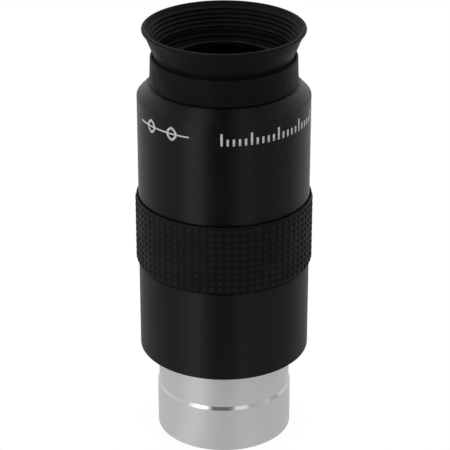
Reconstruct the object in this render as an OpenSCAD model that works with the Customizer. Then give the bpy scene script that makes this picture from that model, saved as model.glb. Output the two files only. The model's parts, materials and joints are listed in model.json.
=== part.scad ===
// A 40 mm telescope eyepiece with a 1.25 inch barrel.
// It stands on the barrel's end, with +Z towards the eye and the origin at the centre of that end.

/* [Barrel] */
// Outside diameter of the barrel, which a 1.25 inch focuser takes
barrel_d = 31.75; // [31.6:0.01:31.78]
// Length of the barrel below the body
barrel_len = 21.2; // [20:0.1:26]
// Length of the full-diameter land at the barrel's end
land_len = 10.8; // [8:0.1:13]
// Height of the bevel between the land and the safety undercut
bevel_h = 0.8; // [0.4:0.1:1.5]
// Radial depth of the safety undercut
undercut = 0.35; // [0.2:0.05:0.5]
// Diameter of the barrel's bore
barrel_bore_d = 27.8; // [27:0.1:27.9]
// Diameter of the filter thread's wall (M28.5 x 0.6)
filter_d = 28.2; // [28:0.05:28.4]
// Depth of the filter thread
filter_len = 4.5; // [3:0.1:6]
// Diameter of the thread that holds the barrel in the body
spigot_d = 30; // [29.8:0.1:30.4]
// Length of that thread
spigot_len = 4; // [3:0.1:5]
// Pitch of that thread
spigot_pitch = 0.75; // [0.5:0.05:1]

/* [Body] */
// Diameter of the lower housing
lower_d = 39.6; // [39.2:0.1:40]
// Height of the lower housing below the grip
lower_h = 22; // [20:0.1:26]
// Diameter of the upper housing
upper_d = 39.4; // [39.2:0.1:40]
// Height of the upper housing's straight wall above the grip
upper_h = 24; // [20:0.1:28]
// Height of the cone at the top of the upper housing
cone_h = 2.7; // [2:0.1:3.5]
// Diameter at the top of the cone
cone_top_d = 34.4; // [34:0.1:36]
// Diameter of the neck that the eyecup sits on
neck_d = 30.6; // [30.4:0.1:30.8]
// Diameter of the opening for the eye
eye_hole_d = 23.6; // [20:0.1:25]

/* [Grip] */
// Diameter over the studs of the rubber grip
grip_d = 40.9; // [40.5:0.1:42]
// Height of the grip
grip_h = 16.9; // [15:0.1:18]
// Number of studs around the grip
stud_columns = 72; // [48:12:96]
// Number of studs up the grip
stud_rows = 10; // [8:1:12]
// Height of each stud
stud_h = 0.28; // [0.2:0.02:0.5]
// Share of the pitch that a stud takes up
stud_share = 0.62; // [0.5:0.02:0.74]

/* [Eyecup] */
// Diameter of the eyecup's skirt at its foot
skirt_d = 33.6; // [33:0.1:34]
// Height of the skirt
skirt_h = 6.6; // [6.4:0.1:8]
// Diameter of the folding wall at its foot
fold_d = 31.8; // [31.6:0.1:32]
// Height of the folding wall between the groove and the rim
wall_h = 5.05; // [4.5:0.05:6]
// Gain of the wall's radius for each millimetre of its height
wall_flare = 0.4; // [0.35:0.01:0.5]
// Thickness of the wall
wall_t = 0.75; // [0.6:0.05:0.9]
// Number of ribs inside the folding wall
rib_count = 5; // [3:1:6]
// Height of the bead around the rim
rim_h = 0.95; // [0.95:0.05:1.4]

/* [Optics] */
// Diameter of the lenses
lens_d = 29.2; // [28.8:0.1:29.6]
// Clear diameter of the lenses
clear_d = 27.8; // [27:0.1:28]
// Diameter of the field stop's opening
stop_d = 26.8; // [24:0.1:27]
// Radius of the cemented surfaces
cemented_r = 30; // [28:0.5:34]
// Radius of the two surfaces that face each other
facing_r = 32; // [30:0.5:36]
// Thickness of each flint lens on the axis
flint_t = 2; // [1.8:0.1:3]
// Thickness of each crown lens on the axis
crown_t = 9; // [8.6:0.1:10]
// Air between the two lens pairs on the axis
air_t = 0.6; // [0.4:0.1:1.5]
// Distance from the field stop to the lower lens
stop_distance = 32.8; // [31:0.1:33]

/* [Hidden] */
$fn = 96;

black_metal = [0.09, 0.09, 0.1];
flat_black = [0.05, 0.05, 0.05];
black_rubber = [0.08, 0.08, 0.09];
glass = [0.75, 0.9, 0.85, 0.35];

play = 0.05; // radial clearance between parts that fit together
eps = 0.01; // overrun of a cutting shape
thread_share = 0.54; // depth of a thread over its pitch
metal_edge = 0.2; // bevel on turned edges
rubber_edge = 0.3; // bevel on moulded edges

// Heights of the outer steps
z_body = barrel_len;
z_grip = z_body + lower_h;
z_upper = z_grip + grip_h;
z_cone = z_upper + upper_h;
z_top = z_cone + cone_h;

// Barrel
undercut_r = barrel_d / 2 - undercut;
barrel_seat_h = 0.4; // depth that the barrel's neck stands in the housing
z_spigot = z_body + barrel_seat_h;
stop_t = 1.8;
stop_lip = 0.2;

// Joint between the two housings, under the grip
grip_seat_d = lower_d - 2.4;
join_d = 34;
join_pitch = 1;
join_len = 8;
z_join_top = z_grip + 6.8;
z_join = z_join_top - join_len;

// Glare baffle and grooves
baffle_d = 32.6;
baffle_t = 1.5;
baffle_rim = 1;
z_baffle = z_body + 10.3;
groove_depth = 0.2;
groove_pitch = 1;

// Lens group, from its lower flat face up
cell_d = 32;
ring_t = 2.2;
lens_r = lens_d / 2;
clear_r = clear_d / 2;
eye_bore_d = clear_d + 0.9;
group_h = 2 * (flint_t + crown_t) + air_t;
z_lens = z_grip + 3.4;
z_cell = z_lens - ring_t;
z_cell_top = z_lens + group_h + ring_t;
z_lock = z_cell - ring_t;
z_stop = z_lens - stop_distance;
cement_t = 0.02;
lens_bevel = 0.15;
slot_w = 1.6;
slot_depth = 0.8;

// Set screws
screw_d = 2;
screw_count = 3;
screw_bite = 0.25;
screw_sink = 0.15;
hex_across = 0.9;
z_screw = z_grip + 3.4;
screw_tip_r = join_d / 2 - screw_bite;
screw_head_r = grip_seat_d / 2 - screw_sink;

// Eye end
cap_h = 1.3;
cap_spigot_h = 3.5;
cap_spigot_t = 1;
z_cap = z_top + 4.2;
z_cap_top = z_cap + cap_h;
snap_depth = 0.4;
snap_h = 1;
z_snap = z_top + 1.8;
fold_h = 0.6;
fold_depth = 0.3; // depth of the fold's groove behind the wall's foot
fold_drop = 0.5; // depth of the groove behind the skirt's top edge
skirt_taper = 0.2;
foot_edge = 0.45; // bevel under the skirt's foot
z_fold = z_top + skirt_h + fold_h;
z_rim = z_fold + wall_h;
rib_h = 0.25;
rib_share = 0.93; // part of the wall's height that the ribs take up, from the rim down
cap_lip = 0.55; // width of the skirt's lip on the eye cap
cap_lip_t = 0.6;
bead_r = 0.45;

// Depth of a spherical surface at a distance from its axis
function sag(surface_r, at_r) = surface_r - sqrt(surface_r * surface_r - at_r * at_r);

// Outside radius of the folding wall at a height above the fold
function wall_r(h) = fold_d / 2 + wall_flare * h;

// V-shaped turns going up a lathe profile from z_from; a negative depth cuts them into an inside wall
function turns_points(crest_r, depth, pitch, z_from, turns) =
    [for (i = [0:2 * turns]) [crest_r - (i % 2) * depth, z_from + i * pitch / 2]];

// The same points in the opposite order
function reversed(points) = [for (i = [len(points) - 1:-1:0]) points[i]];

// A solid of revolution from [radius, height] points
module turned(points) {
    rotate_extrude()
        polygon(points);
}

// A ring with a plain bore, standing on z = 0
module ring(outer_r, inner_r, height) {
    difference() {
        cylinder(r = outer_r, h = height);
        translate([0, 0, -eps])
            cylinder(r = inner_r, h = height + 2 * eps);
    }
}

// A ring with a slot across its lower face for a lens spanner
module slotted_ring(outer_r, inner_r) {
    difference() {
        ring(outer_r, inner_r, ring_t);
        translate([-outer_r - eps, -slot_w / 2, -eps])
            cube([2 * (outer_r + eps), slot_w, slot_depth + eps]);
    }
}

// Copies its children around the axis
module around(count) {
    for (i = [0:count - 1])
        rotate([0, 0, i * 360 / count])
            children();
}

// Puts a part of the lower lens pair in place, from z = 0 at its flat face
module at_field_end() {
    translate([0, 0, z_lens])
        children();
}

// Puts a part of the upper lens pair in place, turned over
module at_eye_end() {
    translate([0, 0, z_lens + group_h])
        mirror([0, 0, 1])
            children();
}

// One crown lens, between the cemented surface and the one that faces the other pair
module crown() {
    color(glass)
        intersection() {
            cylinder(r = lens_r, h = flint_t + crown_t);
            translate([0, 0, flint_t + cemented_r])
                sphere(r = cemented_r);
            translate([0, 0, flint_t + crown_t - facing_r])
                sphere(r = facing_r);
        }
}

// One flint lens, hollowed to take the crown
module flint() {
    color(glass)
        difference() {
            cylinder(r = lens_r, h = flint_t + sag(cemented_r, lens_r) - lens_bevel);
            translate([0, 0, flint_t + cemented_r])
                sphere(r = cemented_r + cement_t);
        }
}

// One slotted ring that holds a lens pair in the cell, below its flat face
module retainer() {
    color(flat_black)
        translate([0, 0, -ring_t])
            slotted_ring(lens_r, clear_r);
}

module barrel() {
    r = barrel_d / 2;
    bore_r = barrel_bore_d / 2;
    thread_r = spigot_d / 2;
    z_end = z_spigot + spigot_len;
    turns = floor((spigot_len - metal_edge) / spigot_pitch);
    color("silver")
        turned(concat(
            [[filter_d / 2, 0], [r, 0], [r, land_len], [undercut_r, land_len + bevel_h],
             [undercut_r, z_spigot]],
            turns_points(thread_r, thread_share * spigot_pitch, spigot_pitch, z_spigot, turns),
            [[thread_r, z_end - metal_edge], [thread_r - metal_edge, z_end], [bore_r, z_end],
             [bore_r, filter_len], [filter_d / 2, filter_len]]
        ));
}

module field_stop() {
    outer_r = barrel_bore_d / 2 - play;
    color(flat_black)
        turned([
            [stop_d / 2, z_stop - stop_lip / 2], [outer_r, z_stop - stop_t / 2],
            [outer_r, z_stop + stop_t / 2], [stop_d / 2, z_stop + stop_lip / 2]
        ]);
}

module glare_baffle() {
    outer_r = baffle_d / 2 - play;
    color(flat_black)
        turned([
            [clear_r, z_baffle], [outer_r, z_baffle], [outer_r, z_baffle + baffle_t],
            [outer_r - baffle_rim, z_baffle + baffle_t], [clear_r, z_baffle + baffle_t / 3]
        ]);
}

module lower_housing() {
    r = lower_d / 2;
    bore_r = spigot_d / 2 + play;
    seat_r = undercut_r + play;
    thread_r = join_d / 2 + play;
    color(black_metal)
        difference() {
            turned([
                [seat_r, z_body], [r - metal_edge, z_body], [r, z_body + metal_edge], [r, z_grip],
                [grip_seat_d / 2, z_grip], [grip_seat_d / 2, z_join_top], [thread_r, z_join_top],
                [thread_r, z_join], [baffle_d / 2, z_join], [baffle_d / 2, z_baffle], [bore_r, z_baffle],
                [bore_r, z_spigot], [seat_r, z_spigot]
            ]);
            around(screw_count)
                translate([screw_tip_r, 0, z_screw])
                    rotate([0, 90, 0])
                        cylinder(d = screw_d + 2 * play, h = grip_seat_d / 2 - screw_tip_r + eps);
        }
}

module upper_housing() {
    r = upper_d / 2;
    cell_r = cell_d / 2 + play;
    neck_r = neck_d / 2;
    bore_r = eye_bore_d / 2;
    join_turns = floor((join_len - metal_edge) / join_pitch);
    groove_turns = floor((z_cap - z_cell_top - cap_spigot_h) / groove_pitch) - 1;
    grooves = turns_points(bore_r, -groove_depth, groove_pitch, z_cell_top + groove_pitch, groove_turns);
    color(black_metal)
        difference() {
            turned(concat(
                [[cell_r, z_join]],
                turns_points(join_d / 2, thread_share * join_pitch, join_pitch, z_join, join_turns),
                [[join_d / 2, z_join_top], [grip_seat_d / 2, z_join_top], [grip_seat_d / 2, z_upper],
                 [r, z_upper], [r, z_cone], [cone_top_d / 2, z_top], [neck_r, z_top], [neck_r, z_snap],
                 [neck_r - snap_depth, z_snap], [neck_r - snap_depth, z_snap + snap_h],
                 [neck_r, z_snap + snap_h], [neck_r, z_cap], [bore_r, z_cap]],
                reversed(grooves),
                [[bore_r, z_cell_top], [cell_r, z_cell_top]]
            ));
            around(screw_count)
                translate([screw_tip_r - play, 0, z_screw])
                    rotate([0, 90, 0])
                        cylinder(d = screw_d + 2 * play, h = 2 * screw_bite);
        }
}

module housing_screws() {
    length = screw_head_r - screw_tip_r;
    color("dimgray")
        around(screw_count)
            translate([screw_tip_r, 0, z_screw])
                rotate([0, 90, 0])
                    difference() {
                        cylinder(d = screw_d, h = length);
                        translate([0, 0, length / 2])
                            cylinder(d = hex_across / cos(30), h = length, $fn = 6);
                    }
}

module grip_ring() {
    inner_r = grip_seat_d / 2 + play;
    outer_r = grip_d / 2;
    base_r = outer_r - stud_h;
    height = grip_h - eps;
    row_pitch = (grip_h - 2 * rubber_edge) / stud_rows;
    gap_h = row_pitch * (1 - stud_share);
    gap_w = 2 * PI * outer_r / stud_columns * (1 - stud_share);
    stud_from = gap_h / 2;
    stud_to = row_pitch - gap_h / 2;
    // Corners of one row of studs, as [radius, height above the row's foot]
    stud = [[base_r, stud_from], [outer_r, stud_from], [outer_r, stud_to], [base_r, stud_to]];
    color(black_rubber)
        translate([0, 0, z_grip])
            difference() {
                turned(concat(
                    [[inner_r, 0], [base_r, 0]],
                    [for (i = [0:stud_rows - 1], corner = stud) corner + [0, rubber_edge + i * row_pitch]],
                    [[base_r, height], [inner_r, height]]
                ));
                around(stud_columns)
                    translate([base_r, -gap_w / 2, 0])
                        cube([2 * stud_h, gap_w, grip_h]);
            }
}

module lens_cell() {
    color(flat_black)
        translate([0, 0, z_cell])
            ring(cell_d / 2, lens_r + play, z_cell_top - z_cell);
}

module cell_lock_ring() {
    color(flat_black)
        translate([0, 0, z_lock])
            slotted_ring(cell_d / 2, lens_r);
}

module field_retainer() {
    at_field_end()
        retainer();
}

module field_flint() {
    at_field_end()
        flint();
}

module field_crown() {
    at_field_end()
        crown();
}

module lens_spacer() {
    height = air_t + 2 * sag(facing_r, clear_r);
    color(flat_black)
        translate([0, 0, z_lens + (group_h - height) / 2])
            ring(lens_r, clear_r, height);
}

module eye_crown() {
    at_eye_end()
        crown();
}

module eye_flint() {
    at_eye_end()
        flint();
}

module eye_retainer() {
    at_eye_end()
        retainer();
}

module eye_cap() {
    hole_r = eye_hole_d / 2;
    spigot_r = eye_bore_d / 2 - play;
    color(black_metal)
        turned([
            [hole_r, z_cap], [hole_r, z_cap_top - metal_edge], [hole_r + metal_edge, z_cap_top],
            [neck_d / 2, z_cap_top], [neck_d / 2, z_cap], [spigot_r, z_cap],
            [spigot_r, z_cap - cap_spigot_h], [spigot_r - cap_spigot_t, z_cap - cap_spigot_h],
            [spigot_r - cap_spigot_t, z_cap]
        ]);
}

module eyecup_skirt() {
    r = skirt_d / 2;
    top_r = r - skirt_taper;
    inner_r = neck_d / 2 + play;
    bore_r = fold_d / 2 - wall_t;
    snap_r = neck_d / 2 - snap_depth + play;
    groove_r = fold_d / 2 - fold_depth;
    z_skirt_top = z_top + skirt_h;
    z_lip = z_cap_top + play;
    color(black_rubber)
        turned([
            [inner_r, z_top], [r - foot_edge, z_top], [r, z_top + foot_edge],
            [top_r, z_skirt_top - rubber_edge], [top_r - rubber_edge, z_skirt_top],
            [groove_r, z_skirt_top - fold_drop], [groove_r, z_fold], [bore_r, z_fold],
            [bore_r, z_lip + cap_lip_t], [bore_r - cap_lip, z_lip + cap_lip_t],
            [bore_r - cap_lip, z_lip], [inner_r, z_lip],
            [inner_r, z_snap + snap_h - play], [snap_r, z_snap + snap_h - play],
            [snap_r, z_snap + play], [inner_r, z_snap + play]
        ]);
}

module eyecup_wall() {
    inner_r = wall_r(0) - wall_t;
    step = wall_h * rib_share / rib_count / 2;
    color(black_rubber)
        turned(concat(
            [[wall_r(0), z_fold], [wall_r(wall_h), z_rim], [wall_r(wall_h) - wall_t, z_rim]],
            [for (i = [1:2 * rib_count])
                [wall_r(wall_h - i * step) - wall_t - (i % 2) * rib_h, z_rim - i * step]],
            [[inner_r, z_fold]]
        ));
}

module eyecup_rim() {
    z_bead = z_rim + rim_h - bead_r;
    bead_wall_r = wall_r(z_bead - z_fold);
    color(black_rubber)
        rotate_extrude()
            union() {
                polygon([
                    [wall_r(wall_h) - wall_t, z_rim], [wall_r(wall_h), z_rim],
                    [bead_wall_r, z_bead], [bead_wall_r - wall_t, z_bead]
                ]);
                translate([bead_wall_r - bead_r / 3, z_bead])
                    circle(r = bead_r);
            }
}

barrel();
field_stop();
glare_baffle();
lower_housing();
upper_housing();
housing_screws();
grip_ring();
lens_cell();
cell_lock_ring();
field_retainer();
field_flint();
field_crown();
lens_spacer();
eye_crown();
eye_flint();
eye_retainer();
eye_cap();
eyecup_skirt();
eyecup_wall();
eyecup_rim();
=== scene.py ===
"""The looks of a telescope eyepiece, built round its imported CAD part. Lengths are in metres.

The parts that can be seen are made again from the CAD nodes: most are spun from a node's half section,
with rounded edges, and get helical threads or ribs. The grip is a grid of studs. The lenses, the rings
round them and the screws are the CAD nodes themselves, with better materials.
"""

import json
import math

import bmesh
import bpy
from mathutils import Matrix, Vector

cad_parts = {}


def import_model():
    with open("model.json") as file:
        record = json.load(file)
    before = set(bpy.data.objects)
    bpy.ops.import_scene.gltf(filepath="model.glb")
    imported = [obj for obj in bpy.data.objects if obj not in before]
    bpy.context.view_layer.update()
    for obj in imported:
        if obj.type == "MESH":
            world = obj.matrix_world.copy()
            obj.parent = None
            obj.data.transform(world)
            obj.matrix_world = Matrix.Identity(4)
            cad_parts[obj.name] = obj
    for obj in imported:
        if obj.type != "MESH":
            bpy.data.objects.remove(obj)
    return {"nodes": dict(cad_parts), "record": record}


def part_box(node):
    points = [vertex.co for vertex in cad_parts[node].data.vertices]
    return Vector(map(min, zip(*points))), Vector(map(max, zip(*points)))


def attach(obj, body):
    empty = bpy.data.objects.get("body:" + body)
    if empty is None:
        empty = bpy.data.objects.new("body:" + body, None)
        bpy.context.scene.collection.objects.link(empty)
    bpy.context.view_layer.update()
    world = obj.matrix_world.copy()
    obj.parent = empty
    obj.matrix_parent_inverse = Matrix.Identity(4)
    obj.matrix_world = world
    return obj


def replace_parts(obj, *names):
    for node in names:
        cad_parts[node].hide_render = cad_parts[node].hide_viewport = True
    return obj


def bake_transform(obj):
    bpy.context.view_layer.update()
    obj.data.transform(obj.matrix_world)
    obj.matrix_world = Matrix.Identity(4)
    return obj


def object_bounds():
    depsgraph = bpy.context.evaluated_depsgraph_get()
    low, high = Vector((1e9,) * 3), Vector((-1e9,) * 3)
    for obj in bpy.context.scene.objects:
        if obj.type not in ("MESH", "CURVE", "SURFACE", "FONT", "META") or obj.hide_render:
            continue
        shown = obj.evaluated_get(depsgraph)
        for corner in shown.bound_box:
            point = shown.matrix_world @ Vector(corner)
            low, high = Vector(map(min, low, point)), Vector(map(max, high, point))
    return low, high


MM = 0.001
SEGMENTS = 256

# Half sections are cut here, between the holes of the set screws
CUT_AZIMUTH = math.radians(60)
SAME_POINT = 1e-7
STRAIGHT = 1e-6
SAME_RADIUS = 0.02 * MM

METAL_EDGE = 0.12 * MM
BODY_EDGE = 0.15 * MM
RUBBER_EDGE = 0.2 * MM
ARC_STEPS = 4
# Corners that turn less than this stay as they are, and an arc takes less than half of each edge
LEAST_TURN = math.radians(15)
MOST_SETBACK = 0.45
NORMAL_WEIGHT = 50

# Threads: a groove spans five sixths of the pitch, with sloping sides and a narrow flat floor
BARREL_THREAD_PITCH = 0.75 * MM
BARREL_THREAD_DEPTH = 0.4 * MM
FILTER_THREAD_PITCH = 0.6 * MM
FILTER_THREAD_DEPTH = 0.3 * MM
FILTER_THREAD_START = 0.3 * MM
GROOVE_PEAK = 1.25
GROOVE_SLOPE = 3
ROWS_PER_TURN = 10

# Which way a wall faces: how far its outward direction, of length 1, points away from the axis or up
INWARD = -0.5
STRAIGHT_IN = -0.9
BEVEL_UP = (0.1, 0.95)
# What is closer to a bore than this counts as the bore's own wall or edge
CLEAR_OF_BORE = 0.5 * MM

# Body: holes for the set screws, and how close to the smallest bore an inside wall is painted black
SCREW_COUNT = 3
SCREW_PLAY = 0.05 * MM
DRILL_DEPTH = 4 * MM
DRILL_OVERRUN = 0.2 * MM
DRILL_SIDES = 48
BLACK_WITHIN = 3.2 * MM

# Studs, each in a cell of its own. Sizes and places inside a cell are shares of the cell: the stretch that
# has the studs' material, the stud's shape, and the lines of the mesh. Outside that stretch the rubber is
# painted darker, as painted shade between the studs
STUD_COLUMNS = 72
STUD_ROWS = 10
STUD_HEIGHT = 0.25 * MM
STUD_FROM = 0.2
STUD_TO = 0.8
STUD_HALF_TOP = 0.2
STUD_CORNER = 0.14
STUD_SLOPE = 0.13
CELL_MARKS = (0.0, 0.17, 0.21, 0.25, 0.3, 0.4, 0.6, 0.7, 0.75, 0.79, 0.83)

# Grip's ends: bands without studs, and gaps between the sleeve's ends and the ends of the CAD node
GRIP_TOP_GAP = 0.05 * MM
GRIP_FOOT_GAP = 0.4 * MM
GRIP_END_WALL = 0.2 * MM
GRIP_END_BAND = 0.6 * MM
GRIP_SEAT_PLAY = 0.05 * MM
# The lips of the grip's ends, as shares of the end's wall inwards and of its band along the axis
GRIP_FOOT_START = (1.0, 0.9)
GRIP_TOP_END = (1.0, 0.35)
GRIP_LIP = ((0.8, 0.0), (0.4, 0.0), (0.12, 0.25), (0.0, 0.7))

CUP_RIBS = 5
RIB_PITCH = 0.94 * MM
RIB_DEPTH = 0.34 * MM
RIB_STEPS = 12
RIB_SHARPNESS = 1.5

# Print: plain marks, a lens symbol to the left of the camera's side and a scale to its right. It stands
# out by its rise and reaches as far into the wall.
PRINT_RISE = 0.02 * MM
PRINT_HEIGHT = 2.9 * MM
PRINT_CENTRE_SHARE = 0.862
PRINT_STROKE = 0.52 * MM
SYMBOL_AZIMUTH = math.radians(-45)
SYMBOL_REACH = 7.7 * MM
SYMBOL_LENSES = (-3.2 * MM, 3.2 * MM)
SYMBOL_BULGE = 1.15 * MM
SYMBOL_STEPS = 24
AXIS_STROKE_SHARE = 0.7
SCALE_AZIMUTH = math.radians(37.5)
SCALE_SPREAD = math.radians(78)
SCALE_MARKS = 21
SCALE_TALL_EVERY = 5
SCALE_SHORT_SHARE = 0.55

# Materials: noise mostly lies in this spread, and its scales are in bumps a metre along x, y and z
NOISE_SPREAD = (0.3, 0.7)
TURNING_MARKS = (8, 8, 9000)
MARKS_LIGHTEN = 1.35
QUARTER_TURN = 0.25

# Camera: lens and sensor are in millimetres, the shift is a share of the sensor, and the distance and the
# height that it looks at are shares of the object's height
CAMERA_LENS = 155.4
CAMERA_SENSOR = 36.0
CAMERA_SHIFT = 0.0022
CAMERA_ELEVATION = math.radians(25.116)
CAMERA_DISTANCE = 4.512
CAMERA_TARGET = 0.5132

# Brightness of the studio round the object, by azimuth in degrees: 0 is the camera's side, and it grows
# to the right
STUDIO = (
    (-180, 1.6), (-140, 1.7), (-112, 1.55), (-90, 1.2), (-62, 1.15), (-52, 2.1), (-46, 3.2), (-34, 3.1),
    (-27, 1.9), (-22, 0.8), (-18, 0.28), (7, 0.26), (14, 0.55), (21, 1.5), (36, 1.5), (44, 0.8), (60, 0.9),
    (78, 1.15), (84, 0.85), (96, 0.8), (104, 1.4), (140, 1.8), (180, 1.6),
)
STUDIO_COLOUR = (0.97, 0.985, 1.0)
STUDIO_TOP = 4.0
HORIZON_SHARE = 0.64
ZENITH_SHARE = 0.95

# Floor, as reflections see it, glows as painted light: an even painted pool of light near the object, a
# dimmed copy of the studio farther out
FLOOR_HEIGHT = -0.02 * MM
FLOOR_REACH = 3.0
FLOOR_NEAR = 0.68
FLOOR_NEAR_SHARE = 0.06
FLOOR_FAR_SHARE = 0.6
FLOOR_BLEND_START = 45 * MM
FLOOR_BLEND_END = 170 * MM
FLOOR_SHADOW = 0.96
FLOOR_SHADOW_REACH = 6 * MM


# Half sections: closed lists of (radius, height) points, anticlockwise

def outline(node):
    """The half section of a turned CAD node."""
    across = Vector((-math.sin(CUT_AZIMUTH), math.cos(CUT_AZIMUTH), 0))
    outward = Vector((math.cos(CUT_AZIMUTH), math.sin(CUT_AZIMUTH), 0))
    bm = bmesh.new()
    bm.from_mesh(node.data)
    bmesh.ops.remove_doubles(bm, verts=bm.verts, dist=SAME_POINT)
    everything = bm.verts[:] + bm.edges[:] + bm.faces[:]
    bmesh.ops.bisect_plane(bm, geom=everything, dist=SAME_POINT, plane_co=(0, 0, 0), plane_no=across,
                           clear_inner=True, clear_outer=True)
    bmesh.ops.remove_doubles(bm, verts=bm.verts, dist=SAME_POINT)
    start = max(bm.verts, key=lambda v: v.co.dot(outward))
    loop = [start]
    here = start.link_edges[0].other_vert(start)
    while here is not start:
        loop.append(here)
        here = next(v for v in (e.other_vert(here) for e in here.link_edges) if v is not loop[-2])
    points = [Vector((v.co.dot(outward), v.co.z)) for v in loop]
    bm.free()
    return anticlockwise(without_straight_points(points))


def without_straight_points(points):
    """The loop without the points that lie on the line between their neighbours."""
    kept = list(points)
    index = 0
    while index < len(kept):
        before, at, after = kept[index - 1], kept[index], kept[(index + 1) % len(kept)]
        along = after - before
        off = abs(along.cross(at - before)) / max(along.length, SAME_POINT)
        if off < STRAIGHT:
            kept.pop(index)
        else:
            index += 1
    return kept


def anticlockwise(points):
    """The loop in the order that gives it a positive area."""
    area = sum(a.cross(b) for a, b in zip(points, points[1:] + points[:1]))
    return points if area > 0 else points[::-1]


def rounded(points, radius):
    """The loop with each corner turned into an arc, of this radius or as large as its edges have room for."""
    result = []
    for index, at in enumerate(points):
        to_before = points[index - 1] - at
        to_after = points[(index + 1) % len(points)] - at
        turn = math.pi - to_before.angle(to_after)
        if turn < LEAST_TURN:
            result.append(at)
            continue
        half = (math.pi - turn) / 2
        room = MOST_SETBACK * min(to_before.length, to_after.length)
        setback = min(radius / math.tan(half), room)
        bisector = (to_before.normalized() + to_after.normalized()).normalized()
        centre = at + bisector * (setback / math.cos(half))
        first = at + to_before.normalized() * setback - centre
        last = at + to_after.normalized() * setback - centre
        for step in range(ARC_STEPS + 1):
            share = step / ARC_STEPS
            weight_first = math.sin((1 - share) * turn)
            weight_last = math.sin(share * turn)
            result.append(centre + (first * weight_first + last * weight_last) / math.sin(turn))
    return result


def opened(points, height, inside_first):
    """The loop as a list that starts at the inner or outer corner of its straight edge at this height."""
    level = [i for i, p in enumerate(points) if abs(p.y - height) < STRAIGHT]
    pick = min if inside_first else max
    start = pick(level, key=lambda i: points[i].x)
    return points[start:] + points[:start]


def finer(points, radius, low, high, step):
    """The loop with extra points on its straight wall of this radius, between two heights."""
    result = []
    for at, after in zip(points, points[1:] + points[:1]):
        result.append(at)
        on_wall = abs(at.x - radius) < SAME_RADIUS and abs(after.x - radius) < SAME_RADIUS
        if not on_wall or min(at.y, after.y) > high or max(at.y, after.y) < low:
            continue
        count = max(1, math.ceil((after - at).length / step))
        result += [at.lerp(after, k / count) for k in range(1, count)]
    return result


# Meshes

def make_object(name, vertices, faces, materials, face_materials=None):
    """A smooth mesh object with its materials."""
    mesh = bpy.data.meshes.new(name)
    mesh.from_pydata(vertices, [], faces)
    for material in materials:
        mesh.materials.append(material)
    if face_materials:
        mesh.polygons.foreach_set("material_index", face_materials)
    mesh.polygons.foreach_set("use_smooth", [True] * len(faces))
    mesh.update()
    made = bpy.data.objects.new(name, mesh)
    bpy.context.scene.collection.objects.link(made)
    return made


def weigh_normals(piece):
    """Keeps flat faces flat in shading, by weighing each corner's normal by its faces' areas."""
    modifier = piece.modifiers.new("flat_faces", "WEIGHTED_NORMAL")
    modifier.mode = "FACE_AREA"
    modifier.weight = NORMAL_WEIGHT
    modifier.keep_sharp = True


def lathe(name, points, materials, paint=None):
    """A solid of revolution. paint gives an edge's material number from its middle and outward direction."""
    count = len(points)
    vertices = []
    faces = []
    numbers = []
    edge_numbers = [0] * count
    if paint:
        for j in range(count):
            a, b = points[j], points[(j + 1) % count]
            outward = Vector((b.y - a.y, a.x - b.x)).normalized()
            edge_numbers[j] = paint((a + b) / 2, outward)
    for i in range(SEGMENTS):
        angle = 2 * math.pi * i / SEGMENTS
        vertices += [(p.x * math.cos(angle), p.x * math.sin(angle), p.y) for p in points]
        here, there = i * count, (i + 1) % SEGMENTS * count
        for j in range(count):
            after = (j + 1) % count
            faces.append((here + j, there + j, there + after, here + after))
            numbers.append(edge_numbers[j])
    made = make_object(name, vertices, faces, materials, numbers)
    weigh_normals(made)
    return made


def cut_thread(piece, radius, low, high, pitch, depth):
    """Cuts a helical thread into a finely divided wall. A negative depth cuts outwards, for a bore's wall."""
    for vertex in piece.data.vertices:
        x, y, z = vertex.co
        distance = math.hypot(x, y)
        if abs(distance - radius) > SAME_RADIUS or not low < z < high:
            continue
        turn = ((z - low) / pitch - math.atan2(y, x) / (2 * math.pi)) % 1
        valley = min(1, max(0, GROOVE_PEAK - abs(turn - 0.5) * GROOVE_SLOPE))
        fade = min(1, (z - low) / pitch, (high - z) / pitch)
        scale = 1 - depth * valley * fade / distance
        vertex.co.x = x * scale
        vertex.co.y = y * scale


def drill(piece):
    """Cuts the holes that the set screws stand in, a little wider than the screws."""
    low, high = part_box("housing_screws")
    outer = high.x + DRILL_OVERRUN
    radius = (high.z - low.z) / 2 + SCREW_PLAY
    middle = (high.z + low.z) / 2
    bm = bmesh.new()
    for index in range(SCREW_COUNT):
        angle = 2 * math.pi * index / SCREW_COUNT
        made = bmesh.ops.create_cone(bm, cap_ends=True, segments=DRILL_SIDES, radius1=radius,
                                     radius2=radius, depth=DRILL_DEPTH)
        place = Vector((outer * math.cos(angle), outer * math.sin(angle), middle))
        turn = Vector((math.cos(angle), math.sin(angle), 0)).to_track_quat("Z", "Y")
        bmesh.ops.rotate(bm, verts=made["verts"], matrix=turn.to_matrix())
        bmesh.ops.translate(bm, verts=made["verts"], vec=place)
    mesh = bpy.data.meshes.new("drill")
    bm.to_mesh(mesh)
    bm.free()
    tool = bpy.data.objects.new("drill", mesh)
    bpy.context.scene.collection.objects.link(tool)
    cut = piece.modifiers.new("screw_holes", "BOOLEAN")
    cut.operation = "DIFFERENCE"
    cut.solver = "EXACT"
    cut.object = tool
    piece.modifiers.move(len(piece.modifiers) - 1, 0)
    graph = bpy.context.evaluated_depsgraph_get()
    baked = bpy.data.meshes.new_from_object(piece.evaluated_get(graph))
    piece.modifiers.clear()
    piece.data = baked
    bpy.data.objects.remove(tool)


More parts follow.
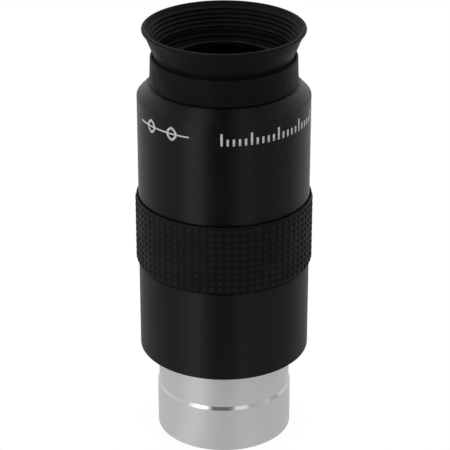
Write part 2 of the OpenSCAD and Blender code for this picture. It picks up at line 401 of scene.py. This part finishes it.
def printed(name, strokes, radius, azimuth, middle, material):
    """Thin raised print on a cylinder. strokes are lines of (along, up) points, each with its width."""
    vertices = []
    faces = []
    for line, width in strokes:
        left, right = stroke_sides(line, width)
        base = len(vertices)
        for layer in (radius - PRINT_RISE, radius + PRINT_RISE):
            for along, up in left + right:
                angle = azimuth + along / radius
                vertices.append((layer * math.sin(angle), -layer * math.cos(angle), middle + up))
        n = len(left)
        top = base + 2 * n
        for k in range(n - 1):
            faces.append((top + k, top + n + k, top + n + k + 1, top + k + 1))
            faces.append((base + k, base + k + 1, base + n + k + 1, base + n + k))
            faces.append((base + k, top + k, top + k + 1, base + k + 1))
            faces.append((base + n + k, base + n + k + 1, top + n + k + 1, top + n + k))
        faces.append((base, base + n, top + n, top))
        faces.append((base + n - 1, top + n - 1, top + 2 * n - 1, base + 2 * n - 1))
    return make_object(name, vertices, faces, [material])


def stroke_sides(line, width):
    """The two sides of a stroke along a line of points."""
    left = []
    right = []
    for index, at in enumerate(line):
        before = Vector(line[max(index - 1, 0)])
        after = Vector(line[min(index + 1, len(line) - 1)])
        along = (after - before).normalized()
        side = Vector((-along.y, along.x)) * width / 2
        left.append((at[0] + side.x, at[1] + side.y))
        right.append((at[0] - side.x, at[1] - side.y))
    return left, right


# Shader nodes and materials

def combined(nodes, links, operation, first, second):
    """Two node outputs joined by a sum or another operation."""
    node = nodes.new("ShaderNodeMath")
    node.operation = operation
    links.new(first, node.inputs[0])
    links.new(second, node.inputs[1])
    return node.outputs[0]


def mapped(nodes, links, value, from_low, from_high, to_low, to_high):
    """A node output mapped from one range to another."""
    node = nodes.new("ShaderNodeMapRange")
    names = ("From Min", "From Max", "To Min", "To Max")
    for name, number in zip(names, (from_low, from_high, to_low, to_high)):
        node.inputs[name].default_value = number
    links.new(value, node.inputs["Value"])
    return node.outputs["Result"]


class Look:
    """A material being built: the principled shader and short ways to add nodes to it."""

    def __init__(self, name):
        self.material = bpy.data.materials.new(name)
        self.material.use_nodes = True
        self.nodes = self.material.node_tree.nodes
        self.links = self.material.node_tree.links
        self.shader = self.nodes["Principled BSDF"]
        self.place = self.nodes.new("ShaderNodeTexCoord").outputs["Object"]

    def set(self, **values):
        """Sets inputs of the shader, named with underscores for spaces."""
        for name, value in values.items():
            self.shader.inputs[name.replace("_", " ")].default_value = value
        return self

    def scaled(self, scale):
        """The object's coordinates in metres, times this scale."""
        node = self.nodes.new("ShaderNodeVectorMath")
        node.operation = "MULTIPLY"
        node.inputs[1].default_value = scale
        self.links.new(self.place, node.inputs[0])
        return node.outputs[0]

    def noise(self, scale, detail=2.0):
        """Noise with about this many bumps a metre along each axis."""
        node = self.nodes.new("ShaderNodeTexNoise")
        node.inputs["Scale"].default_value = 1.0
        node.inputs["Detail"].default_value = detail
        self.links.new(self.scaled(scale), node.inputs["Vector"])
        return node.outputs["Fac"]

    def ramp(self, value, low, high):
        """Noise, which mostly lies between the numbers of NOISE_SPREAD, mapped to low..high."""
        return mapped(self.nodes, self.links, value, *NOISE_SPREAD, low, high)

    def tint(self, value, low, high):
        """Base colour between two colours, by a value."""
        node = self.nodes.new("ShaderNodeMix")
        node.data_type = "RGBA"
        node.inputs[6].default_value = (*low, 1)
        node.inputs[7].default_value = (*high, 1)
        self.links.new(self.ramp(value, 0, 1), node.inputs[0])
        self.links.new(node.outputs[2], self.shader.inputs["Base Color"])
        return self

    def roughen(self, value, low, high):
        """Roughness between two numbers, by a value."""
        self.links.new(self.ramp(value, low, high), self.shader.inputs["Roughness"])
        return self

    def bump(self, value, distance, strength):
        """Small unevenness in the shading, by a value."""
        node = self.nodes.new("ShaderNodeBump")
        node.inputs["Strength"].default_value = strength
        node.inputs["Distance"].default_value = distance
        self.links.new(value, node.inputs["Height"])
        self.links.new(node.outputs["Normal"], self.shader.inputs["Normal"])
        return self

    def turned_grain(self):
        """Points the shader's stretched highlights along the axis, as fine turning marks do."""
        node = self.nodes.new("ShaderNodeTangent")
        node.direction_type = "RADIAL"
        node.axis = "Z"
        self.links.new(node.outputs["Tangent"], self.shader.inputs["Tangent"])
        return self


def turning_marks(look):
    """Noise that is fine along the axis and nearly even round it."""
    return look.noise(TURNING_MARKS, 3.0)


def satin_chrome():
    """The barrel's chrome, dull from fine turning marks."""
    look = Look("satin_chrome").set(Metallic=1.0, Anisotropic=0.3, Anisotropic_Rotation=QUARTER_TURN)
    marks = turning_marks(look)
    look.tint(marks, (0.57, 0.565, 0.572), (0.63, 0.625, 0.632))
    look.roughen(marks, 0.46, 0.54)
    look.bump(marks, 0.003 * MM, 0.4)
    return look.turned_grain().material


def bright_chrome():
    """The bevel's chrome, nearly a mirror."""
    look = Look("bright_chrome").set(Metallic=1.0, Anisotropic=0.3, Anisotropic_Rotation=QUARTER_TURN)
    marks = turning_marks(look)
    look.tint(marks, (0.6, 0.6, 0.61), (0.66, 0.66, 0.67))
    look.roughen(marks, 0.05, 0.09)
    return look.turned_grain().material


def anodised(name, colour, roughness, specular):
    """Dyed anodised aluminium over turning marks."""
    look = Look(name).set(Specular_IOR_Level=specular, Anisotropic=1.0)
    look.set(Anisotropic_Rotation=QUARTER_TURN)
    marks = turning_marks(look)
    light = tuple(MARKS_LIGHTEN * c for c in colour)
    look.tint(marks, colour, light)
    look.roughen(marks, roughness - 0.03, roughness + 0.03)
    look.bump(marks, 0.002 * MM, 0.4)
    return look.turned_grain().material


def flat_black():
    """Flat black paint, as inside optics."""
    look = Look("flat_black").set(Specular_IOR_Level=0.04)
    grain = look.noise((3000, 3000, 3000), 4.0)
    look.tint(grain, (0.0015, 0.0015, 0.0016), (0.0035, 0.0035, 0.0036))
    look.roughen(grain, 0.75, 0.95)
    look.bump(grain, 0.01 * MM, 0.4)
    return look.material


def rubber(name, low, high, specular):
    """Black rubber with a fine grain, between two colours."""
    look = Look(name).set(Specular_IOR_Level=specular)
    grain = look.noise((2500, 2500, 2500), 5.0)
    look.tint(grain, low, high)
    look.roughen(look.noise((180, 180, 180)), 0.5, 0.68)
    look.bump(grain, 0.012 * MM, 0.5)
    return look.material


def black_oxide():
    """Blackened steel."""
    look = Look("black_oxide").set(Metallic=1.0)
    stain = look.noise((1500, 1500, 1500), 4.0)
    look.tint(stain, (0.05, 0.05, 0.055), (0.1, 0.095, 0.09))
    look.roughen(stain, 0.3, 0.5)
    return look.material


def coated_glass(name, index, coating):
    """Clear glass with a refractive index, whose weak reflections take the coating's colour."""
    look = Look(name).set(Transmission_Weight=1.0, IOR=index, Specular_IOR_Level=0.12)
    haze = look.noise((400, 400, 400))
    look.tint(haze, (0.985, 0.992, 0.985), (0.995, 0.998, 0.995))
    look.roughen(haze, 0.0, 0.012)
    look.shader.inputs["Specular Tint"].default_value = (*coating, 1)
    return look.material


def white_ink():
    """Slightly worn white print."""
    look = Look("white_ink").set(Specular_IOR_Level=0.2)
    wear = look.noise((1800, 1800, 1800), 4.0)
    look.tint(wear, (0.45, 0.45, 0.46), (0.58, 0.58, 0.58))
    look.roughen(wear, 0.5, 0.7)
    return look.material


# Parts

def build_barrel(frame, looks):
    """The chrome barrel, with a bright bevel, a blackened bore and a thread at each end."""
    points = outline(frame["nodes"]["barrel"])
    top = max(p.y for p in points)
    neck_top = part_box("lower_housing")[0].z
    spigot_r = max(p.x for p in points if p.y > top - MM)
    crests = [p for p in points if abs(p.x - spigot_r) < SAME_RADIUS and p.y > neck_top]
    thread_low = min(p.y for p in crests)
    thread_high = max(p.y for p in crests)
    bore_r = min(p.x for p in points)
    plain = [p for p in points if not (thread_low < p.y < thread_high and bore_r + CLEAR_OF_BORE < p.x)]
    filter_mount = next(m for m in frame["record"]["mounts"] if m["name"] == "filter_thread")
    filter_r = filter_mount["dims"]["r_mm"] * MM
    filter_top = filter_mount["dims"]["length_mm"] * MM
    land_mount = next(m for m in frame["record"]["mounts"] if m["name"] == "barrel_od")
    land_top = land_mount["dims"]["length_mm"] * MM

    def paint(middle, outward):
        if outward.x < INWARD and middle.y > filter_top:
            return 2
        if land_top < middle.y < neck_top and BEVEL_UP[0] < outward.y < BEVEL_UP[1]:
            return 1
        return 0

    points = rounded(plain, METAL_EDGE)
    points = finer(points, spigot_r, thread_low, thread_high, BARREL_THREAD_PITCH / ROWS_PER_TURN)
    points = finer(points, filter_r, 0, filter_top, FILTER_THREAD_PITCH / ROWS_PER_TURN)
    made = lathe("barrel_tube", points, [looks["chrome"], looks["bright"], looks["black"]], paint)
    cut_thread(made, spigot_r, thread_low, thread_high, BARREL_THREAD_PITCH, BARREL_THREAD_DEPTH)
    cut_thread(made, filter_r, FILTER_THREAD_START, filter_top, FILTER_THREAD_PITCH, -FILTER_THREAD_DEPTH)
    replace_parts(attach(made, "barrel"), "barrel")


def build_housings(frame, looks):
    """The two halves of the body, black inside."""
    halves = (("lower_housing", "lower_body", "lower"), ("upper_housing", "upper_body", "upper"))
    for node, name, look in halves:
        points = rounded(outline(frame["nodes"][node]), BODY_EDGE)
        limit = min(p.x for p in points) + BLACK_WITHIN

        def paint(middle, outward, limit=limit):
            return 1 if outward.x < INWARD and middle.x < limit else 0

        made = lathe(name, points, [looks[look], looks["black"]], paint)
        drill(made)
        weigh_normals(made)
        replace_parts(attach(made, "housing"), node)


def build_eye_ring(frame, looks):
    """The ring with the opening for the eye: a dull top, a brighter edge and a black bore."""
    points = outline(frame["nodes"]["eye_cap"])
    hole_r = min(p.x for p in points)
    top = max(p.y for p in points)

    def paint(middle, outward):
        if outward.x < STRAIGHT_IN:
            return 1
        near_edge = middle.x < hole_r + CLEAR_OF_BORE and middle.y > top - CLEAR_OF_BORE
        if near_edge and outward.y < BEVEL_UP[1]:
            return 2
        return 0

    chosen = [looks["cap"], looks["black"], looks["upper"]]
    made = lathe("eye_ring", rounded(points, METAL_EDGE), chosen, paint)
    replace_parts(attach(made, "housing"), "eye_cap")


def stud_rise(share_along, share_up):
    """A stud's height, from 0 to 1, at a place in its cell: a square with round corners and sloping sides."""
    away_x = max(abs(share_along - 0.5) - STUD_HALF_TOP + STUD_CORNER, 0)
    away_y = max(abs(share_up - 0.5) - STUD_HALF_TOP + STUD_CORNER, 0)
    beyond = math.hypot(away_x, away_y) - STUD_CORNER
    if beyond <= 0:
        return 1.0
    fall = min(beyond / STUD_SLOPE, 1)
    return 1 - fall * fall * (3 - 2 * fall)


def grip_rows(frame):
    """The grip's half section: rows of (radius, height, whether among the studs, share up the cell)."""
    low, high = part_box("grip_ring")
    inner = seat_radius(frame) + GRIP_SEAT_PLAY
    base = high.x - STUD_HEIGHT
    foot = low.z + GRIP_FOOT_GAP
    top = high.z - GRIP_TOP_GAP
    foot_band = GRIP_END_BAND - GRIP_FOOT_GAP
    top_band = GRIP_END_BAND - GRIP_TOP_GAP
    pitch = (high.z - low.z - 2 * GRIP_END_BAND) / STUD_ROWS
    rows = [(inner, top, False, 0), (inner, foot, False, 0)]
    for wall, along in (GRIP_FOOT_START, *GRIP_LIP):
        rows.append((base - wall * GRIP_END_WALL, foot + along * foot_band, False, 0))
    for row in range(STUD_ROWS):
        start = low.z + GRIP_END_BAND + row * pitch
        rows += [(base, start + share * pitch, True, share) for share in CELL_MARKS]
    for wall, along in (*GRIP_LIP[::-1], GRIP_TOP_END):
        rows.append((base - wall * GRIP_END_WALL, top - along * top_band, False, 0))
    return rows


def seat_radius(frame):
    """Radius of the wall that the grip sits on, from the lower housing between the grip's ends."""
    low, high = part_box("grip_ring")
    points = outline(frame["nodes"]["lower_housing"])
    return max(p.x for p in points if low.z + MM < p.y < high.z)


def build_grip(frame, looks):
    """The rubber ring: rows of square studs between plain ends with rounded lips."""
    rows = grip_rows(frame)
    columns = [(column + share, share) for column in range(STUD_COLUMNS) for share in CELL_MARKS]
    vertices = []
    faces = []
    numbers = []
    count = len(rows)
    for index, (place, share_along) in enumerate(columns):
        angle = 2 * math.pi * place / STUD_COLUMNS
        here, there = index * count, (index + 1) % len(columns) * count
        for j, (r, z, among_studs, share_up) in enumerate(rows):
            rise = STUD_HEIGHT * stud_rise(share_along, share_up) if among_studs else 0
            vertices.append(((r + rise) * math.cos(angle), (r + rise) * math.sin(angle), z))
            after = (j + 1) % count
            faces.append((here + j, there + j, there + after, here + after))
            # The studs' middles get the grip's rubber; the rest, between the studs and at the plain ends,
            # gets the darker rubber as painted shade
            raised = STUD_FROM <= share_along < STUD_TO and STUD_FROM <= share_up < STUD_TO
            numbers.append(0 if among_studs and raised else 1)
    made = make_object("grip_sleeve", vertices, faces, [looks["grip"], looks["valley"]], numbers)
    weigh_normals(made)
    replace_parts(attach(made, "housing"), "grip_ring")


def build_cup(frame, looks):
    """The eyecup: skirt, folding wall and rim as one rubber moulding, with ribs inside."""
    skirt = outline(frame["nodes"]["eyecup_skirt"])
    rim = outline(frame["nodes"]["eyecup_rim"])
    fold = max(p.y for p in skirt)
    rim_foot = min(p.y for p in rim)
    outside = opened(skirt, fold, inside_first=True)
    foot = opened(outline(frame["nodes"]["eyecup_wall"]), fold, inside_first=False)[0]
    bead = opened(rim, rim_foot, inside_first=False)
    lip = outside[0]
    bead_low = (rim_foot + max(p.y for p in rim)) / 2
    high_up = [i for i, p in enumerate(bead) if p.y > bead_low]
    inner_end = min(high_up, key=lambda i: bead[i].x)
    start = bead[inner_end]
    ribs = []
    steps = CUP_RIBS * RIB_STEPS
    reach = CUP_RIBS * RIB_PITCH
    for k in range(1, steps + 1):
        z = rim_foot - reach * k / steps
        r = start.x + (start.y - z) / (start.y - lip.y) * (lip.x - start.x)
        crest = 0.5 - 0.5 * math.cos(2 * math.pi * k / RIB_STEPS)
        ribs.append(Vector((r - RIB_DEPTH * crest ** RIB_SHARPNESS, z)))
    corners = rounded(outside + [foot] + bead[:inner_end + 1], RUBBER_EDGE)
    made = lathe("eyecup", corners + ribs, [looks["cup"]])
    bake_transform(made)
    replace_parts(made, "eyecup_skirt", "eyecup_wall", "eyecup_rim")


def lens_symbol():
    """Strokes for two lenses on an axis, drawn as on an optical diagram."""
    strokes = []
    half = PRINT_HEIGHT / 2
    shares = [2 * k / SYMBOL_STEPS - 1 for k in range(SYMBOL_STEPS + 1)]
    for centre in SYMBOL_LENSES:
        for bulge in (-SYMBOL_BULGE, SYMBOL_BULGE):
            strokes.append(([(centre + bulge * (1 - up * up), half * up) for up in shares], PRINT_STROKE))
    strokes.append(([(SYMBOL_REACH * along, 0) for along in shares], PRINT_STROKE * AXIS_STROKE_SHARE))
    return strokes


def scale_marks(width):
    """Strokes for a plain scale: tall and short upright marks."""
    strokes = []
    foot = -PRINT_HEIGHT / 2
    for k in range(SCALE_MARKS):
        along = width * (k / (SCALE_MARKS - 1) - 0.5)
        height = PRINT_HEIGHT * (1 if k % SCALE_TALL_EVERY == 0 else SCALE_SHORT_SHARE)
        strokes.append(([(along, foot), (along, foot + height)], PRINT_STROKE))
    return strokes


def build_print(frame, looks):
    """Plain marks in white on the upper housing: a lens symbol and a scale."""
    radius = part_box("upper_housing")[1].x
    points = outline(frame["nodes"]["upper_housing"])
    wall_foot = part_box("grip_ring")[1].z
    wall_top = max(p.y for p in points if abs(p.x - radius) < SAME_RADIUS)
    middle = wall_foot + (wall_top - wall_foot) * PRINT_CENTRE_SHARE
    marks = scale_marks(radius * SCALE_SPREAD)
    symbol = printed("print_symbol", lens_symbol(), radius, SYMBOL_AZIMUTH, middle, looks["ink"])
    scale = printed("print_scale", marks, radius, SCALE_AZIMUTH, middle, looks["ink"])
    for piece in (symbol, scale):
        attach(piece, "housing")


def dress_inner_nodes(frame, looks):
    """Gives the CAD nodes that are shown as they are their materials."""
    black = ("field_stop", "glare_baffle", "lens_cell", "cell_lock_ring", "field_retainer", "lens_spacer",
             "eye_retainer")
    chosen = {name: "black" for name in black}
    chosen.update(housing_screws="screw", field_flint="flint", eye_flint="flint")
    chosen.update(field_crown="crown", eye_crown="crown")
    for name, look in chosen.items():
        node = frame["nodes"][name]
        node.data.materials.clear()
        node.data.materials.append(looks[look])


# Surroundings

def studio_brightness(nodes, links, direction):
    """Node outputs for the studio's brightness in a direction, and for how far up that direction points."""
    parts = nodes.new("ShaderNodeSeparateXYZ")
    back = nodes.new("ShaderNodeMath")
    turn = nodes.new("ShaderNodeMath")
    ramp = nodes.new("ShaderNodeFloatCurve")
    scaled = nodes.new("ShaderNodeMath")
    back.operation = "MULTIPLY"
    back.inputs[1].default_value = -1
    turn.operation = "ARCTAN2"
    scaled.operation = "MULTIPLY"
    scaled.inputs[1].default_value = STUDIO_TOP
    links.new(direction, parts.inputs[0])
    links.new(parts.outputs["Y"], back.inputs[0])
    links.new(parts.outputs["X"], turn.inputs[0])
    links.new(back.outputs[0], turn.inputs[1])
    links.new(mapped(nodes, links, turn.outputs[0], -math.pi, math.pi, 0, 1), ramp.inputs["Value"])
    links.new(ramp.outputs[0], scaled.inputs[0])
    curve = ramp.mapping.curves[0]
    for index, (degrees, brightness) in enumerate(STUDIO):
        place = (degrees / 360 + 0.5, brightness / STUDIO_TOP)
        if index in (0, len(STUDIO) - 1):
            point = curve.points[0 if index == 0 else -1]
            point.location = place
        else:
            point = curve.points.new(*place)
        point.handle_type = "VECTOR"
    ramp.mapping.update()
    return scaled.outputs[0], parts.outputs["Z"]


def split_rays(nodes, links, kind, output, seen_strength, unseen_strength):
    """Ends a node tree in light: white for the camera, the studio's colour for every other ray."""
    seen = nodes.new(kind)
    unseen = nodes.new(kind)
    mix = nodes.new("ShaderNodeMixShader")
    path = nodes.new("ShaderNodeLightPath")
    seen.inputs["Color"].default_value = (1, 1, 1, 1)
    unseen.inputs["Color"].default_value = (*STUDIO_COLOUR, 1)
    links.new(unseen_strength, unseen.inputs["Strength"])
    if seen_strength:
        links.new(seen_strength, seen.inputs["Strength"])
    links.new(path.outputs["Is Camera Ray"], mix.inputs[0])
    links.new(unseen.outputs[0], mix.inputs[1])
    links.new(seen.outputs[0], mix.inputs[2])
    links.new(mix.outputs[0], nodes.new(output).inputs[0])


def make_floor():
    """A white floor with a faint painted contact shadow. For reflections it glows: a painted pool of light
    near the object, and a dimmed copy of the studio farther out.
    """
    material = bpy.data.materials.new("pale_floor")
    material.use_nodes = True
    nodes, links = material.node_tree.nodes, material.node_tree.links
    nodes.clear()
    corner = nodes.new("ShaderNodeAmbientOcclusion")
    corner.inputs["Distance"].default_value = FLOOR_SHADOW_REACH
    shadow = mapped(nodes, links, corner.outputs["AO"], 0, 1, FLOOR_SHADOW, 1)
    place = nodes.new("ShaderNodeTexCoord").outputs["Object"]
    distance = nodes.new("ShaderNodeVectorMath")
    distance.operation = "LENGTH"
    links.new(place, distance.inputs[0])
    blend = (distance.outputs["Value"], FLOOR_BLEND_START, FLOOR_BLEND_END)
    # Painted pool of light on the floor: even near the object, fading out farther away
    near = mapped(nodes, links, *blend, FLOOR_NEAR, 0)
    share = mapped(nodes, links, *blend, FLOOR_NEAR_SHARE, FLOOR_FAR_SHARE)
    around = studio_brightness(nodes, links, place)[0]
    far = combined(nodes, links, "MULTIPLY", share, around)
    bright = combined(nodes, links, "ADD", near, far)
    split_rays(nodes, links, "ShaderNodeEmission", "ShaderNodeOutputMaterial", shadow, bright)
    signs = ((-1, -1), (1, -1), (1, 1), (-1, 1))
    corners = [(x * FLOOR_REACH, y * FLOOR_REACH, FLOOR_HEIGHT) for x, y in signs]
    make_object("floor", corners, [(0, 1, 2, 3)], [material])


def make_world():
    """A soft studio with a softbox on each side, which the camera sees as white."""
    world = bpy.data.worlds.new("surroundings")
    bpy.context.scene.world = world
    world.use_nodes = True
    nodes, links = world.node_tree.nodes, world.node_tree.links
    nodes.clear()
    direction = nodes.new("ShaderNodeTexCoord").outputs["Generated"]
    around, height = studio_brightness(nodes, links, direction)
    fade = mapped(nodes, links, height, 0, 1, HORIZON_SHARE, ZENITH_SHARE)
    bright = combined(nodes, links, "MULTIPLY", fade, around)
    split_rays(nodes, links, "ShaderNodeBackground", "ShaderNodeOutputWorld", None, bright)


def make_camera(height):
    """A long lens in front of the object, looking slightly down."""
    data = bpy.data.cameras.new("camera")
    data.lens = CAMERA_LENS
    data.sensor_width = CAMERA_SENSOR
    data.shift_x = CAMERA_SHIFT
    camera = bpy.data.objects.new("camera", data)
    bpy.context.scene.collection.objects.link(camera)
    target = Vector((0, 0, CAMERA_TARGET * height))
    back = Vector((0, -math.cos(CAMERA_ELEVATION), math.sin(CAMERA_ELEVATION)))
    camera.location = target + back * CAMERA_DISTANCE * height
    camera.rotation_euler = (-back).to_track_quat("-Z", "Y").to_euler()
    bpy.context.scene.camera = camera


def make_looks():
    """The materials by short name. Colours are (red, green, blue) in linear light."""
    return {
        "chrome": satin_chrome(),
        "bright": bright_chrome(),
        "lower": anodised("lower_black", (0.0022, 0.0022, 0.0024), 0.55, 0.25),
        "upper": anodised("upper_black", (0.001, 0.001, 0.0011), 0.47, 0.22),
        "cap": anodised("cap_black", (0.0009, 0.0009, 0.001), 0.55, 0.05),
        "black": flat_black(),
        "grip": rubber("grip_black", (0.002, 0.002, 0.0022), (0.004, 0.004, 0.0042), 0.15),
        # A darker copy of the grip's rubber: painted shade between the studs and at the grip's ends
        "valley": rubber("grip_painted_shade", (0.0012, 0.0012, 0.0013), (0.0024, 0.0024, 0.0025), 0.11),
        "cup": rubber("cup_black", (0.0018, 0.002, 0.0022), (0.003, 0.0032, 0.0035), 0.093),
        "screw": black_oxide(),
        "crown": coated_glass("crown_glass", 1.517, (0.5, 1.0, 0.65)),
        "flint": coated_glass("flint_glass", 1.648, (0.75, 0.6, 1.0)),
        "ink": white_ink(),
    }


def main():
    """Builds the pieces and their surroundings."""
    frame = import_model()
    cad_low, cad_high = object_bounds()
    looks = make_looks()
    build_barrel(frame, looks)
    build_housings(frame, looks)
    build_grip(frame, looks)
    build_eye_ring(frame, looks)
    build_cup(frame, looks)
    build_print(frame, looks)
    dress_inner_nodes(frame, looks)
    make_floor()
    make_world()
    make_camera(cad_high.z - cad_low.z)
    bpy.context.scene.view_settings.view_transform = "Standard"


main()
